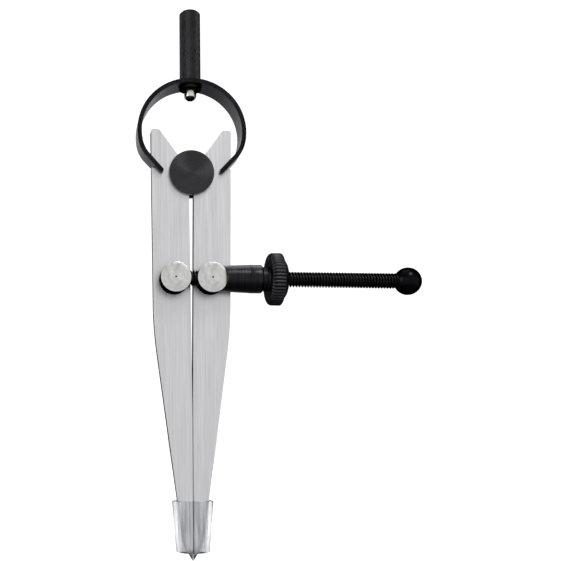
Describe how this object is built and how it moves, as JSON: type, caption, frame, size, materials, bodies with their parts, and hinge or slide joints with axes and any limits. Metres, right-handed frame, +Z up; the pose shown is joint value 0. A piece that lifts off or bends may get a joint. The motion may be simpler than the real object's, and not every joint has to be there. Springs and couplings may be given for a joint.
{
  "type": "spring divider",
  "caption": "Spring-bow divider: flat steel legs with dry points, black bow spring and knurled handle, screw with knurled nut and ball stop, clear sleeve over the points.",
  "frame": {"origin": "middle of the knurled handle, on its axis", "axes": "+Z up the handle, away from the points; +X to the right, along the adjusting screw to its ball; -Y to the front, the side with the screw"},
  "size_m": [0.0759, 0.0151, 0.1474],
  "materials": {
    "leg_steel": "lengthwise ground and brushed",
    "stud_steel": "bright turned faces",
    "bright_turned": "bright turned",
    "black_spring": "black oxide on rolled spring strip",
    "black_turned": "black oxide on a turned surface",
    "black_knurled": "black oxide on a fine knurl",
    "black_thread": "black oxide on a cut thread",
    "clear_vinyl": "clear soft vinyl"
  },
  "bodies": {
    "handle_and_bow": {"bow_spring": "black_spring", "handle": "black_knurled", "handle_washer": "black_turned", "spigot_nut": "bright_turned"},
    "fulcrum": {"fulcrum_pin": "black_turned", "fulcrum_back_disc": "black_turned"},
    "left_leg": {"left_leg": "leg_steel"},
    "right_leg": {"right_leg": "leg_steel"},
    "screw_swivel": {"anchor_stud": "stud_steel", "anchor_washer": "stud_steel", "screw_pin": "bright_turned", "adjusting_screw": "black_thread", "ball_end": "black_turned"},
    "bush_swivel": {"guide_stud": "stud_steel", "guide_washer": "stud_steel", "thrust_bush": "black_turned", "nut_collar": "black_turned"},
    "nut": {"adjusting_nut": "black_knurled"},
    "sleeve": {"tip_sleeve": "clear_vinyl"}
  },
  "joints": [
    {"name": "fulcrum_drop", "type": "slide", "parent": "handle_and_bow", "child": "fulcrum", "axis": [0, 0, -1], "range_m": [0, 0.00482]},
    {"name": "left_leg_open", "type": "hinge", "parent": "fulcrum", "child": "left_leg", "pos_m": [0, 0, -0.03585], "axis": [0, 1, 0], "range_deg": [0, 30]},
    {"name": "right_leg_open", "type": "hinge", "parent": "fulcrum", "child": "right_leg", "pos_m": [0, 0, -0.03585], "axis": [0, -1, 0], "range_deg": [0, 30]},
    {"name": "anchor_stud_swivel", "type": "hinge", "parent": "left_leg", "child": "screw_swivel", "pos_m": [-0.0048, 0, -0.06495], "axis": [0, -1, 0], "range_deg": [0, 30]},
    {"name": "guide_stud_swivel", "type": "hinge", "parent": "right_leg", "child": "bush_swivel", "pos_m": [0.0048, 0, -0.06495], "axis": [0, 1, 0], "range_deg": [0, 30]},
    {"name": "nut_turn", "type": "hinge", "parent": "bush_swivel", "child": "nut", "pos_m": [0.02, -0.00405, -0.06495], "axis": [1, 0, 0], "range_deg": [0, 12600]},
    {"name": "sleeve_pull_off", "type": "slide", "parent": "fulcrum", "child": "sleeve", "axis": [0, 0, -1], "range_m": [0, 0.04002], "deforming": ["tip_sleeve"]}
  ],
  "couplings": [
    {"joint": "right_leg_open", "follows": "left_leg_open", "ratio": 1},
    {"joint": "anchor_stud_swivel", "follows": "left_leg_open", "ratio": 1},
    {"joint": "guide_stud_swivel", "follows": "left_leg_open", "ratio": 1},
    {"joint": "nut_turn", "follows": "left_leg_open", "ratio": 420},
    {"joint": "fulcrum_drop", "follows": "left_leg_open", "m_per_rad": 0.0092},
    {"joint": "sleeve_pull_off", "follows": "left_leg_open", "m_per_rad": 0.076387}
  ]
}
